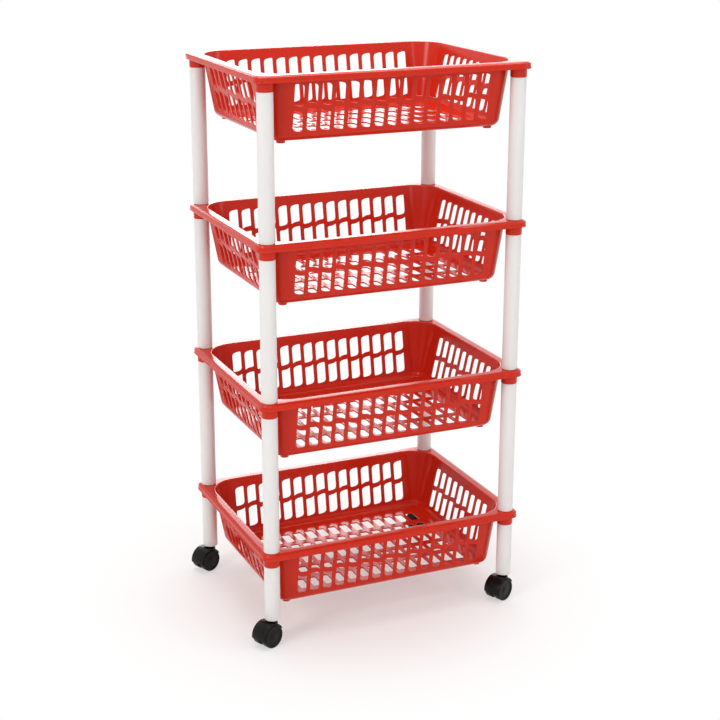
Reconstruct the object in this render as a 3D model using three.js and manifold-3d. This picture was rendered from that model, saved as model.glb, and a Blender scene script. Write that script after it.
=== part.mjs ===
// A four-tier basket trolley. Four identical moulded baskets stand one above the other on four
// posts. Each post is a stack of plastic tubes: a tube's narrow spigot passes up through the
// corner boss of a basket and into the tube above, and a twin-wheel castor plugs into the
// lowest tube. Millimetres, +Z up. The origin lies on the floor under the middle of the whole.
import * as THREE from "three";
import { mergeGeometries, mergeVertices } from "three/addons/utils/BufferGeometryUtils.js";
import Module from "manifold-3d";

const wasm = await Module();
wasm.setup();

// ---------------------------------------------------------------- driving dimensions

// Overall
const RIM_LENGTH = 435; // outer length of a basket's rim, along X
const RIM_WIDTH = 330; // outer width of a basket's rim, along Y
const LOWEST_RIM_HEIGHT = 152; // top of the lowest basket's rim above the floor
const TIER_PITCH = 238; // from one rim to the next
const TIERS = 4;

// Basket
const BASKET_DEPTH = 98; // rim top to the underside of the floor panel
const SHORT_WALL_LEAN = 21.5; // how far the short walls lean in from rim to underside
const LONG_WALL_LEAN = 17.5;
const WALL_THICKNESS = 2.2;
const FLOOR_THICKNESS = 2.4;
const FLANGE_WIDTH = 16.5; // rim edge to the basket's mouth
const FLANGE_THICKNESS = 2.4;
const SKIRT_HEIGHT = 10.5;
const SKIRT_THICKNESS = 2;
const SHOULDER_WIDTH = 4; // sloping outer band of the rim's top
const SHOULDER_DROP = 1.5;
const RIM_CORNER_RADIUS = 14;
const MOUTH_CORNER_RADIUS = 45; // large, so that the corner bosses stay outside the mouth
const BOTTOM_CORNER_RADIUS = 16;
const BOTTOM_EDGE_RADIUS = 11;
const SMALLEST_CORNER_RADIUS = 0.5;
const FOOT_HEIGHT = 3.5;
const FOOT_DIAMETER = 14;
const FOOT_INSET = 16; // foot centre from the basket's outline at the underside

// Slots in the walls
const SLOT_WIDTH = 14;
const SLOT_GAP = 7; // wall left between two slots of a row
const ROW_GAP = 8; // wall left between the two rows
const SLOT_SLANT = 4; // drop of a slot's ends from left to right, seen from outside
const TOP_LAND = 16.5; // rim top to the upper row
const BOTTOM_LAND = 16.5; // lower row to the underside
const LONG_WALL_END_LAND = 3; // least flat wall beyond the last slot of a row
const SHORT_WALL_END_LAND = 12;

// Posts
const POST_INSET = 17.5; // post axis from the rim's edges
const TUBE_DIAMETER = 24;
const TUBE_WALL = 2.7;
const NECK_WALL = 3; // tube's end wall where the spigot starts
const SPIGOT_LENGTH_IN_TUBE = 18;
const SPIGOT_WALL = 1.8;
const BOSS_WALL = 3.2;
const BOSS_DEPTH = 23; // rim top to the boss's lower end

// Castor
const WHEEL_DIAMETER = 36;
const WHEEL_WIDTH = 10.5;
const WHEEL_SPACING = 8; // between the two wheels' inner faces
const WHEEL_RECESS = 1.5;
const WHEEL_RIM = 3.5;
const WHEEL_CHAMFER = 0.8;
const CASTOR_TRAIL = 11; // swivel axis to axle
const CASTOR_HEADING = 204; // direction of the trail at rest, degrees from +X
const HOOD_THICKNESS = 1.8;
const HOOD_WIDTH = 28.4;
const HOOD_BACK = -8; // ends of the hood's arc, degrees up from the trailing side
const HOOD_FRONT = 152;
const WEB_HUB_DIAMETER = 16;
const NECK_RISE = 2.5; // top of the hood to the post's lower end
const SWIVEL_NECK_DIAMETER = 15;
const STEM_DIAMETER = 8;
const STEM_LENGTH_IN_SOCKET = 26;
const STEM_LENGTH_IN_NECK = 6.5;
const SOCKET_LENGTH = 30;
const AXLE_DIAMETER = 5;
const AXLE_LENGTH_IN_WHEEL = 7.5;

// Clearances
const SEAT_GAP = 0.3; // between faces that rest on each other
const FIT_GAP = 0.3; // radial, between fixed pieces that plug together
const RUNNING_GAP = 0.06; // radial, between a shaft and the bore that turns on it
const TREAD_GAP = 0.7; // wheel tread to the hood
const WEB_GAP = 0.6; // wheel's inner face to the web

// Cutting
const CUT_OVERRUN = 1; // how far a cutter runs past the face it opens

// Facets
const CORNER_SEGMENTS = 3; // per quarter turn of a basket's corner
const TUBE_SIDES = 12;
const WHEEL_SIDES = 20;
const HOOD_SEGMENTS = 8;
const FOOT_SIDES = 8;

// ---------------------------------------------------------------- finishes

const RED_PLASTIC = { color: 0xc8201a, roughness: 0.3, metalness: 0 };
const WHITE_PLASTIC = { color: 0xf2f2f0, roughness: 0.45, metalness: 0 };
const BLACK_PLASTIC = { color: 0x181818, roughness: 0.5, metalness: 0 };
const TREAD_PLASTIC = { color: 0x101010, roughness: 0.65, metalness: 0 };
const STEEL = { color: 0xb8bcc0, roughness: 0.35, metalness: 1 };

// ---------------------------------------------------------------- solids

/** A manifold solid of a closed geometry. */
function solid(geometry) {
  const bare = geometry.clone();
  bare.deleteAttribute("normal");
  bare.deleteAttribute("uv");
  const merged = mergeVertices(bare, 1e-4);
  const vertProperties = merged.attributes.position.array;
  const triVerts = new Uint32Array(merged.index.array);
  return new wasm.Manifold(new wasm.Mesh({ numProp: 3, vertProperties, triVerts }));
}

/** The geometry of a manifold solid. */
function geometryOf(made) {
  const mesh = made.getMesh();
  const geometry = new THREE.BufferGeometry();
  geometry.setAttribute("position", new THREE.BufferAttribute(mesh.vertProperties, 3));
  geometry.setIndex(new THREE.BufferAttribute(mesh.triVerts, 1));
  const faceted = geometry.toNonIndexed();
  faceted.computeVertexNormals();
  return faceted;
}

/** A solid turned about Z through [radius, height] points that start and end on the axis. */
function turned(profile, sides = TUBE_SIDES) {
  const points = profile.map(([radius, height]) => new THREE.Vector2(radius, height));
  return new THREE.LatheGeometry(points, sides).rotateX(Math.PI / 2);
}

/** A hollow solid turned about Z, whose profile closes on itself away from the axis. */
function turnedRing(profile, sides = TUBE_SIDES) {
  return turned([...profile, profile[0]], sides);
}

/** A solid cylinder about Z between two heights. */
function rod(radius, low, high, sides = TUBE_SIDES) {
  const cylinder = new THREE.CylinderGeometry(radius, radius, high - low, sides);
  return cylinder.rotateX(Math.PI / 2).translate(0, 0, (low + high) / 2);
}

/** The corner radius of a faceted bore whose flats clear a shaft of the given radius. */
function boreRadius(shaftRadius, gap, sides = TUBE_SIDES) {
  return (shaftRadius + gap) / Math.cos(Math.PI / sides);
}

/** A named mesh with a material of its own. */
function piece(name, geometry, finish) {
  const mesh = new THREE.Mesh(geometry, new THREE.MeshStandardMaterial(finish));
  mesh.name = name;
  return mesh;
}

// ---------------------------------------------------------------- basket

/** A rounded rectangle at a depth below the rim's top, as a loop of points. */
function ring(halfLength, halfWidth, cornerRadius, depth) {
  const radius = Math.max(cornerRadius, SMALLEST_CORNER_RADIUS);
  const points = [];
  for (let corner = 0; corner < 4; corner++) {
    const sideX = corner === 0 || corner === 3 ? 1 : -1;
    const sideY = corner < 2 ? 1 : -1;
    for (let step = 0; step <= CORNER_SEGMENTS; step++) {
      const angle = (Math.PI / 2) * (corner + step / CORNER_SEGMENTS);
      const x = sideX * (halfLength - radius) + radius * Math.cos(angle);
      const y = sideY * (halfWidth - radius) + radius * Math.sin(angle);
      points.push(new THREE.Vector3(x, y, -depth));
    }
  }
  return points;
}

/** A ring of the rim, inset from the rim's outline. */
function rimRing(inset, depth) {
  return ring(RIM_LENGTH / 2 - inset, RIM_WIDTH / 2 - inset, RIM_CORNER_RADIUS - inset, depth);
}

/** Half sizes and corner radius of the walls' outer face at a depth below the rim's top. */
function wallAt(depth) {
  const share = depth / BASKET_DEPTH;
  const inset = FLANGE_WIDTH - WALL_THICKNESS;
  const topRadius = MOUTH_CORNER_RADIUS + WALL_THICKNESS;
  return {
    halfLength: RIM_LENGTH / 2 - inset - SHORT_WALL_LEAN * share,
    halfWidth: RIM_WIDTH / 2 - inset - LONG_WALL_LEAN * share,
    radius: THREE.MathUtils.lerp(topRadius, BOTTOM_CORNER_RADIUS, share),
  };
}

/** A ring of the walls, inset from their outer face. */
function wallRing(inset, depth) {
  const wall = wallAt(depth);
  return ring(wall.halfLength - inset, wall.halfWidth - inset, wall.radius - inset, depth);
}

/** Rings round the bottom edge of a face that lies inset from the walls' outer face. */
function bottomEdge(inset, floorDepth) {
  return [90, 45, 0].map((degrees) => {
    const angle = THREE.MathUtils.degToRad(degrees);
    const inward = BOTTOM_EDGE_RADIUS * (1 - Math.cos(angle));
    const upward = BOTTOM_EDGE_RADIUS * (1 - Math.sin(angle));
    return wallRing(inset + inward, floorDepth - upward);
  });
}

/** A closed surface through rings of equal length, with a flat end at each end. */
function loft(rings) {
  const count = rings[0].length;
  const positions = rings.flat().flatMap((point) => point.toArray());
  const indices = [];
  for (let r = 0; r < rings.length - 1; r++) {
    for (let i = 0; i < count; i++) {
      const a = r * count + i;
      const b = r * count + ((i + 1) % count);
      indices.push(a, b, b + count);
      indices.push(a, b + count, a + count);
    }
  }
  const last = (rings.length - 1) * count;
  for (let i = 1; i < count - 1; i++) {
    indices.push(0, i + 1, i);
    indices.push(last, last + i, last + i + 1);
  }
  const geometry = new THREE.BufferGeometry();
  geometry.setAttribute("position", new THREE.Float32BufferAttribute(positions, 3));
  geometry.setIndex(indices);
  return geometry;
}

/** The basket's skin: underside, walls, rim with its skirt, and the inside. */
function basketShell() {
  return loft([
    ...bottomEdge(0, BASKET_DEPTH),
    wallRing(0, FLANGE_THICKNESS),
    rimRing(SKIRT_THICKNESS, FLANGE_THICKNESS),
    rimRing(SKIRT_THICKNESS, SKIRT_HEIGHT),
    rimRing(0, SKIRT_HEIGHT),
    rimRing(0, SHOULDER_DROP),
    rimRing(SHOULDER_WIDTH, 0),
    wallRing(WALL_THICKNESS, 0),
    ...bottomEdge(WALL_THICKNESS, BASKET_DEPTH - FLOOR_THICKNESS).reverse(),
  ]);
}

const rowHeight = (BASKET_DEPTH - TOP_LAND - BOTTOM_LAND - ROW_GAP) / 2;
const rowDepths = [TOP_LAND + rowHeight / 2, BASKET_DEPTH - BOTTOM_LAND - rowHeight / 2];

/** A wall slot's outline about its middle: upright sides and slanting ends. */
function slotOutline() {
  const [half, reach, lift] = [SLOT_WIDTH / 2, rowHeight / 2, SLOT_SLANT / 2];
  return new THREE.Shape([
    new THREE.Vector2(-half, lift - reach),
    new THREE.Vector2(half, -lift - reach),
    new THREE.Vector2(half, reach - lift),
    new THREE.Vector2(-half, reach + lift),
  ]);
}

/** Middles of as many slots as fit in a wall's flat part. */
function slotPlaces(flat, endLand) {
  const pitch = SLOT_WIDTH + SLOT_GAP;
  const count = Math.floor((flat - 2 * endLand + SLOT_GAP) / pitch);
  return Array.from({ length: count }, (_, i) => (i - (count - 1) / 2) * pitch);
}

/** Cutters for the slots of the wall that faces the given heading. */
function wallCutters(heading, places, outAt) {
  const thick = { depth: 2 * (WALL_THICKNESS + SHORT_WALL_LEAN), bevelEnabled: false };
  return rowDepths.flatMap((depth) =>
    places.map((along) => {
      const cutter = new THREE.ExtrudeGeometry(slotOutline(), thick).rotateX(Math.PI / 2);
      cutter.translate(along, thick.depth / 2 - outAt(depth), -depth);
      return cutter.rotateZ(heading);
    }),
  );
}

/** All slots of a basket as one cutting solid. */
function slotCutter() {
  const top = wallAt(TOP_LAND);
  const longPlaces = slotPlaces(2 * (top.halfLength - top.radius), LONG_WALL_END_LAND);
  const shortPlaces = slotPlaces(2 * (top.halfWidth - top.radius), SHORT_WALL_END_LAND);
  const toLongWall = (depth) => wallAt(depth).halfWidth;
  const toShortWall = (depth) => wallAt(depth).halfLength;
  const cutters = [0, Math.PI].flatMap((turn) => [
    ...wallCutters(turn, longPlaces, toLongWall),
    ...wallCutters(turn + Math.PI / 2, shortPlaces, toShortWall),
  ]);
  return solid(mergeGeometries(cutters));
}

const postX = RIM_LENGTH / 2 - POST_INSET;
const postY = RIM_WIDTH / 2 - POST_INSET;
const corners = [
  { name: "front_left", x: -postX, y: -postY },
  { name: "front_right", x: postX, y: -postY },
  { name: "rear_right", x: postX, y: postY },
  { name: "rear_left", x: -postX, y: postY },
];
const spigotRadius = TUBE_DIAMETER / 2 - TUBE_WALL - FIT_GAP;
const bossRadius = spigotRadius + FIT_GAP + BOSS_WALL;

/** The bosses, their holes and the feet of a basket, as one solid to add and one to cut. */
function cornerSolids(holeTop) {
  const underside = wallAt(BASKET_DEPTH);
  const footX = underside.halfLength - FOOT_INSET;
  const footY = underside.halfWidth - FOOT_INSET;
  const footTop = FLOOR_THICKNESS / 2 - BASKET_DEPTH;
  const footEnd = -BASKET_DEPTH - FOOT_HEIGHT;
  const hole = boreRadius(spigotRadius, FIT_GAP);
  const added = [];
  const cut = [];
  for (const { x, y } of corners) {
    added.push(rod(bossRadius, -BOSS_DEPTH, -FLANGE_THICKNESS / 2).translate(x, y, 0));
    cut.push(rod(hole, -BOSS_DEPTH - CUT_OVERRUN, holeTop).translate(x, y, 0));
    const foot = rod(FOOT_DIAMETER / 2, footEnd, footTop, FOOT_SIDES);
    added.push(foot.translate(Math.sign(x) * footX, Math.sign(y) * footY, 0));
  }
  return { added: solid(mergeGeometries(added)), cut: solid(mergeGeometries(cut)) };
}

/** A basket with its rim's top at height zero; the boss holes end at the given height. */
function basketGeometry(holeTop) {
  const { added, cut } = cornerSolids(holeTop);
  const basket = solid(basketShell()).add(added).subtract(cut);
  return geometryOf(basket.subtract(slotCutter()));
}

// ---------------------------------------------------------------- posts

/** A tube between two heights whose spigot reaches up to a third. */
function tubeGeometry(low, shoulder, spigotTop) {
  const outer = TUBE_DIAMETER / 2;
  const bore = boreRadius(spigotRadius, FIT_GAP);
  return turnedRing([
    [outer, low],
    [outer, shoulder],
    [spigotRadius, shoulder],
    [spigotRadius, spigotTop],
    [spigotRadius - SPIGOT_WALL, spigotTop],
    [spigotRadius - SPIGOT_WALL, shoulder - NECK_WALL],
    [bore, shoulder - NECK_WALL],
    [bore, low],
  ]);
}

const tubeEndHeight = WHEEL_DIAMETER + TREAD_GAP + HOOD_THICKNESS + NECK_RISE;

/** Height of a tier's rim top. */
const rimHeight = (tier) => LOWEST_RIM_HEIGHT + (tier - 1) * TIER_PITCH;

/** The tube under a tier's boss: a leg under the lowest tier, else a spacer. */
function tube(tier, corner) {
  const top = rimHeight(tier);
  const low = tier === 1 ? tubeEndHeight : rimHeight(tier - 1) + SEAT_GAP;
  const shoulder = top - BOSS_DEPTH - SEAT_GAP;
  const blindEnd = top - FLANGE_THICKNESS - SEAT_GAP;
  const spigotTop = tier === TIERS ? blindEnd : top + SPIGOT_LENGTH_IN_TUBE;
  const name = tier === 1 ? `leg_tube_${corner.name}` : `post_tube_${tier}_${corner.name}`;
  const made = piece(name, tubeGeometry(low, shoulder, spigotTop), WHITE_PLASTIC);
  made.position.set(corner.x, corner.y, 0);
  return made;
}

// ---------------------------------------------------------------- castor

const wheelRadius = WHEEL_DIAMETER / 2;
const hoodStep = (HOOD_FRONT - HOOD_BACK) / HOOD_SEGMENTS;
const hoodFlat = Math.cos(THREE.MathUtils.degToRad(hoodStep / 2));
const hoodInside = (wheelRadius + TREAD_GAP) / hoodFlat;
const hoodOutside = wheelRadius + TREAD_GAP + HOOD_THICKNESS;

/** Points of an arc about the axle, from the hood's back to its front, seen from the side. */
function hoodArc(radius) {
  const points = [];
  for (let step = 0; step <= HOOD_SEGMENTS; step++) {
    const angle = THREE.MathUtils.degToRad(HOOD_BACK + step * hoodStep);
    const x = CASTOR_TRAIL + radius * Math.cos(angle);
    points.push(new THREE.Vector2(x, wheelRadius + radius * Math.sin(angle)));
  }
  return points;
}

/** A plate across the castor, from its outline seen from the side. */
function plate(outline, width) {
  const thick = { depth: width, bevelEnabled: false };
  const geometry = new THREE.ExtrudeGeometry(new THREE.Shape(outline), thick);
  return solid(geometry.rotateX(Math.PI / 2).translate(0, width / 2, 0));
}

/** A cylinder about the axle, as long as the given width. */
function axleRod(radius, width, sides = TUBE_SIDES) {
  const cylinder = rod(radius, -width / 2, width / 2, sides).rotateX(Math.PI / 2);
  return cylinder.translate(CASTOR_TRAIL, 0, wheelRadius);
}

const neckTop = tubeEndHeight - SEAT_GAP;
const stemEnd = neckTop - STEM_LENGTH_IN_NECK;

/** The castor's body: hood, web between the wheels and swivel neck. */
function hoodGeometry() {
  const axle = new THREE.Vector2(CASTOR_TRAIL, wheelRadius);
  const web = WHEEL_SPACING - 2 * WEB_GAP;
  const hood = plate([...hoodArc(hoodOutside), ...hoodArc(hoodInside).reverse()], HOOD_WIDTH);
  const pie = plate([axle, ...hoodArc((hoodInside + hoodOutside) / 2)], web);
  const hub = solid(axleRod(WEB_HUB_DIAMETER / 2, web));
  const wheelRoom = solid(axleRod(hoodInside, 2 * HOOD_WIDTH, WHEEL_SIDES));
  const neck = solid(rod(SWIVEL_NECK_DIAMETER / 2, wheelRadius, neckTop)).subtract(wheelRoom);
  const stemBoreRadius = boreRadius(STEM_DIAMETER / 2, FIT_GAP);
  const stemBore = solid(rod(stemBoreRadius, stemEnd - FIT_GAP, neckTop + CUT_OVERRUN));
  const axleBore = solid(axleRod(boreRadius(AXLE_DIAMETER / 2, FIT_GAP), 2 * web));
  const body = neck.add(hood).add(pie).add(hub);
  return geometryOf(body.subtract(stemBore).subtract(axleBore));
}

/** A wheel on the axle, open towards the web, with its outer face recessed. */
function wheelGeometry() {
  const bore = boreRadius(AXLE_DIAMETER / 2, RUNNING_GAP, WHEEL_SIDES);
  const boreEnd = AXLE_LENGTH_IN_WHEEL + SEAT_GAP;
  const profile = [
    [0, boreEnd],
    [bore, boreEnd],
    [bore, 0],
    [wheelRadius, 0],
    [wheelRadius, WHEEL_WIDTH - WHEEL_CHAMFER],
    [wheelRadius - WHEEL_CHAMFER, WHEEL_WIDTH],
    [wheelRadius - WHEEL_RIM, WHEEL_WIDTH],
    [wheelRadius - WHEEL_RIM, WHEEL_WIDTH - WHEEL_RECESS],
    [0, WHEEL_WIDTH - WHEEL_RECESS],
  ];
  return turned(profile, WHEEL_SIDES).rotateX(-Math.PI / 2);
}

/** The wheel on one side of the web. */
function wheel(name, side) {
  const made = piece(name, wheelGeometry(), TREAD_PLASTIC);
  made.position.set(CASTOR_TRAIL, side * (WHEEL_SPACING / 2), wheelRadius);
  made.rotation.z = side > 0 ? 0 : Math.PI;
  return made;
}

/** The socket that fills a post's lower end and holds the stem. */
function socket(corner) {
  const bore = boreRadius(STEM_DIAMETER / 2, RUNNING_GAP);
  const top = tubeEndHeight + SOCKET_LENGTH;
  const profile = [
    [spigotRadius, tubeEndHeight],
    [spigotRadius, top],
    [bore, top],
    [bore, tubeEndHeight],
  ];
  const made = piece(`castor_socket_${corner.name}`, turnedRing(profile), BLACK_PLASTIC);
  made.position.set(corner.x, corner.y, 0);
  return made;
}

/** A twin-wheel castor under a post, trailing in its heading. */
function castor(corner) {
  const prefix = `castor_${corner.name}`;
  const stem = rod(STEM_DIAMETER / 2, stemEnd, tubeEndHeight + STEM_LENGTH_IN_SOCKET);
  const axleLength = WHEEL_SPACING + 2 * AXLE_LENGTH_IN_WHEEL;
  const made = new THREE.Group();
  made.add(
    piece(`${prefix}_hood`, hoodGeometry(), BLACK_PLASTIC),
    piece(`${prefix}_stem`, stem, STEEL),
    piece(`${prefix}_axle`, axleRod(AXLE_DIAMETER / 2, axleLength), STEEL),
    wheel(`${prefix}_wheel_1`, 1),
    wheel(`${prefix}_wheel_2`, -1),
  );
  made.position.set(corner.x, corner.y, 0);
  made.rotation.z = THREE.MathUtils.degToRad(CASTOR_HEADING);
  return made;
}

// ---------------------------------------------------------------- the trolley

const trolley = new THREE.Group();
trolley.name = "basket_trolley";
for (let tier = 1; tier <= TIERS; tier++) {
  const holeTop = tier === TIERS ? -FLANGE_THICKNESS : CUT_OVERRUN;
  const basket = piece(`basket_${tier}`, basketGeometry(holeTop), RED_PLASTIC);
  basket.position.z = rimHeight(tier);
  trolley.add(basket);
  for (const corner of corners) {
    trolley.add(tube(tier, corner));
  }
}
for (const corner of corners) {
  trolley.add(socket(corner), castor(corner));
}

// The castors reach past the baskets on their trailing side, so the whole is moved over to
// stand evenly about the origin.
const middle = new THREE.Box3().setFromObject(trolley, true).getCenter(new THREE.Vector3());
trolley.position.set(-middle.x, -middle.y, 0);

const group = new THREE.Group();
group.add(trolley);
export default group;
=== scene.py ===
"""Looks of a four-tier basket trolley: moulded baskets on tube posts with twin-wheel castors."""

import logging
import math
from dataclasses import dataclass, field
from enum import Enum
from typing import Callable, Sequence

import bmesh
import bpy
from bmesh.types import BMesh, BMEdge, BMFace, BMVert
from mathutils import Matrix, Vector


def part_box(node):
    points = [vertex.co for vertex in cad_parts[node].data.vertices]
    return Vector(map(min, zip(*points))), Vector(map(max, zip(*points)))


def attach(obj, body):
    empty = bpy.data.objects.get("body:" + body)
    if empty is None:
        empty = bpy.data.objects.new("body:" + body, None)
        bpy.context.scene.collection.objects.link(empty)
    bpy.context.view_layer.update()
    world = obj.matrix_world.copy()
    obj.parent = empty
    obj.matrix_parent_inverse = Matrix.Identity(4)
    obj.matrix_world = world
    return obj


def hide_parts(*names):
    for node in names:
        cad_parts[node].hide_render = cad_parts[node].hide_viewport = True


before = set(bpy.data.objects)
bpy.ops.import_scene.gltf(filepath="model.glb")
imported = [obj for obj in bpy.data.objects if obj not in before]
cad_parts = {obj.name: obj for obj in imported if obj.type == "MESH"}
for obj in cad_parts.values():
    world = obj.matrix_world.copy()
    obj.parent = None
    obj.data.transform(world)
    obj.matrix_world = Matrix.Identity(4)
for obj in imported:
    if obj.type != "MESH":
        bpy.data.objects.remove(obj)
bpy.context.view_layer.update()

LOG = logging.getLogger("basket_trolley")
MM = 0.001
CORNERS = ("front_left", "front_right", "rear_right", "rear_left")
TIERS = (1, 2, 3, 4)
QUARTER_TURN = math.pi / 2
SMOOTH_ANGLE = math.radians(26)  # edges that bend less than this are shaded smooth
WELD = 1e-6

Point = tuple[float, float]
Colour = tuple[float, float, float]
Setting = str | float | int | bool
Input = "Signal | float | Sequence[float]"


# ---------------------------------------------------------------- shader expressions


@dataclass(frozen=True)
class Signal:
    """A shader socket that takes part in Python arithmetic.

    Args:
        tree: The node tree that the socket belongs to.
        socket: The output socket that carries the value, or None on a node that has none.
    """

    tree: "NodeTree"
    socket: bpy.types.NodeSocket | None

    def _math(self, operation: str, first: Input, second: Input) -> "Signal":
        """Adds a Math node on two values and returns its result."""
        return self.tree.node("ShaderNodeMath", {"operation": operation}, {0: first, 1: second})

    def __add__(self, other: Input) -> "Signal":
        """Returns self + other."""
        return self._math("ADD", self, other)

    __radd__ = __add__

    def __mul__(self, other: Input) -> "Signal":
        """Returns self * other."""
        return self._math("MULTIPLY", self, other)

    __rmul__ = __mul__

    def __sub__(self, other: Input) -> "Signal":
        """Returns self - other."""
        return self._math("SUBTRACT", self, other)

    def __rsub__(self, other: Input) -> "Signal":
        """Returns other - self."""
        return self._math("SUBTRACT", other, self)


class NodeTree:
    """The node tree of a material or of the world, built from nothing."""

    def __init__(self, owner: bpy.types.Material | bpy.types.World) -> None:
        """Empties the owner's node tree.

        Args:
            owner: The material or the world that the nodes belong to.
        """
        owner.use_nodes = True
        self.tree = owner.node_tree
        self.tree.nodes.clear()

    def node(
        self,
        kind: str,
        settings: dict[str, Setting] | None = None,
        inputs: dict[str | int, Input] | None = None,
        output: str | int = 0,
    ) -> Signal:
        """Adds a node.

        Args:
            kind: The node's type name.
            settings: Properties of the node, set before its sockets.
            inputs: Values or links for its input sockets, by name or number.
            output: The output socket to return.

        Returns:
            The chosen output as a Signal.
        """
        made = self.tree.nodes.new(kind)
        for key, value in (settings or {}).items():
            setattr(made, key, value)
        for key, value in (inputs or {}).items():
            if isinstance(value, Signal):
                self.tree.links.new(value.socket, made.inputs[key])
            else:
                made.inputs[key].default_value = value
        return Signal(self, made.outputs[output] if made.outputs else None)


class Shading(NodeTree):
    """The nodes of one material, around a Principled shader."""

    def __init__(self, name: str) -> None:
        """Starts an empty material of that name."""
        self.material = bpy.data.materials.new(name)
        super().__init__(self.material)

    def place(self, stretch: Sequence[float] = (1, 1, 1)) -> Signal:
        """Returns object coordinates in metres, multiplied by a stretch along each axis."""
        place = self.node("ShaderNodeTexCoord", output="Object")
        return self.node("ShaderNodeMapping", inputs={"Vector": place, "Scale": stretch})

    def noise(self, per_metre: float, detail: float = 2, place: Signal | None = None) -> Signal:
        """Adds a noise.

        Args:
            per_metre: How many of its features lie along a metre.
            detail: How many finer layers are added to it.
            place: The coordinates to read, or None for plain object coordinates.

        Returns:
            The noise, from 0 to 1.
        """
        vector = self.place() if place is None else place
        settings = {"noise_dimensions": "3D", "normalize": True}
        inputs = {"Vector": vector, "Scale": per_metre, "Detail": detail}
        return self.node("ShaderNodeTexNoise", settings, inputs)

    def blend(self, share: Input, first: Colour, second: Colour) -> Signal:
        """Returns a colour that goes from the first to the second as the share goes to 1."""
        inputs = {0: share, 6: opaque(first), 7: opaque(second)}
        return self.node("ShaderNodeMix", {"data_type": "RGBA"}, inputs, output=2)

    def bump(self, height: Signal, distance: float, strength: float) -> Signal:
        """Returns a normal bent by a height from 0 to 1, whose full height is the distance."""
        inputs = {"Height": height, "Distance": distance, "Strength": strength}
        return self.node("ShaderNodeBump", inputs=inputs)

    def finish(self, inputs: dict[str | int, Input]) -> bpy.types.Material:
        """Adds the Principled shader.

        Args:
            inputs: Values or links for the shader's sockets.

        Returns:
            The finished material.
        """
        shader = self.node("ShaderNodeBsdfPrincipled", inputs=inputs)
        self.node("ShaderNodeOutputMaterial", inputs={"Surface": shader})
        return self.material


def opaque(colour: Colour) -> tuple[float, float, float, float]:
    """Returns a colour with full alpha."""
    return (*colour, 1.0)


def between(ends: Point, share: Signal) -> Signal:
    """Returns a value that goes from the first end to the second as the share goes to 1."""
    return ends[0] + share * (ends[1] - ends[0])


@dataclass(frozen=True)
class MouldedGloss:
    """Glossy injection-moulded polypropylene with faint flow clouds and orange peel.

    Args:
        name: The material's name.
        colour: Its colour where the melt is dense.
        cloud: Its slightly paler colour in the flow clouds.
        roughness: The least and the greatest roughness.
        gloss: Specular level.
    """

    name: str
    colour: Colour
    cloud: Colour
    roughness: Point
    gloss: float

    CLOUDS = 14  # features per metre, as in every finish
    STREAKS = 30
    DRAW = (1, 1, 3)  # the streaks lie level
    SINKS = 38
    PEEL = 650
    PEEL_SHARE = 0.04
    IOR = 1.49

    def build(self) -> bpy.types.Material:
        """Builds the material.

        Returns:
            The finished material.
        """
        shading = Shading(self.name)
        clouds = shading.noise(self.CLOUDS, 3)
        streaks = shading.noise(self.STREAKS, 2, shading.place(self.DRAW))
        peel = shading.noise(self.PEEL, 1)
        sinks = shading.noise(self.SINKS, 1)
        return shading.finish(
            {
                "Base Color": shading.blend(clouds, self.colour, self.cloud),
                "Roughness": between(self.roughness, streaks),
                "Normal": shading.bump(sinks + peel * self.PEEL_SHARE, 0.3 * MM, 0.2),
                "IOR": self.IOR,
                "Specular IOR Level": self.gloss,
            }
        )


@dataclass(frozen=True)
class ExtrudedSatin:
    """Satin extruded tube plastic, with the faint drawn lines that a die leaves.

    Args:
        name: The material's name.
        colour: Its colour.
        shade: Its slightly greyer colour along the drawn lines.
        roughness: The least and the greatest roughness.
    """

    name: str
    colour: Colour
    shade: Colour
    roughness: Point

    LINES = 900
    DRAW = (1, 1, 0.02)  # the lines run along the tube
    SCUFFS = 60
    LINE_SHARE = 0.6
    IOR = 1.48

    def build(self) -> bpy.types.Material:
        """Builds the material.

        Returns:
            The finished material.
        """
        shading = Shading(self.name)
        lines = shading.noise(self.LINES, 2, shading.place(self.DRAW))
        scuffs = shading.noise(self.SCUFFS, 3)
        greyed = lines * self.LINE_SHARE + scuffs * (1 - self.LINE_SHARE)
        return shading.finish(
            {
                "Base Color": shading.blend(greyed, self.colour, self.shade),
                "Roughness": between(self.roughness, scuffs),
                "Normal": shading.bump(lines, 0.05 * MM, 0.3),
                "IOR": self.IOR,
            }
        )


@dataclass(frozen=True)
class GrainedNylon:
    """Black moulded nylon with a fine spark-eroded grain and dusty patches.

    Args:
        name: The material's name.
        colour: Its colour.
        dust: The paler colour of handling dust.
        roughness: The least and the greatest roughness.
        grain: Width of the grain, in metres.
    """

    name: str
    colour: Colour
    dust: Colour
    roughness: Point
    grain: float

    PATCHES = 120
    IOR = 1.5
    GLOSS = 0.16

    def build(self) -> bpy.types.Material:
        """Builds the material.

        Returns:
            The finished material.
        """
        shading = Shading(self.name)
        patches = shading.noise(self.PATCHES, 3)
        grain = shading.noise(1 / self.grain, 2)
        return shading.finish(
            {
                "Base Color": shading.blend(patches, self.colour, self.dust),
                "Roughness": between(self.roughness, patches),
                "Normal": shading.bump(grain, 0.05 * MM, 0.3),
                "IOR": self.IOR,
                "Specular IOR Level": self.GLOSS,
            }
        )


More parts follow.
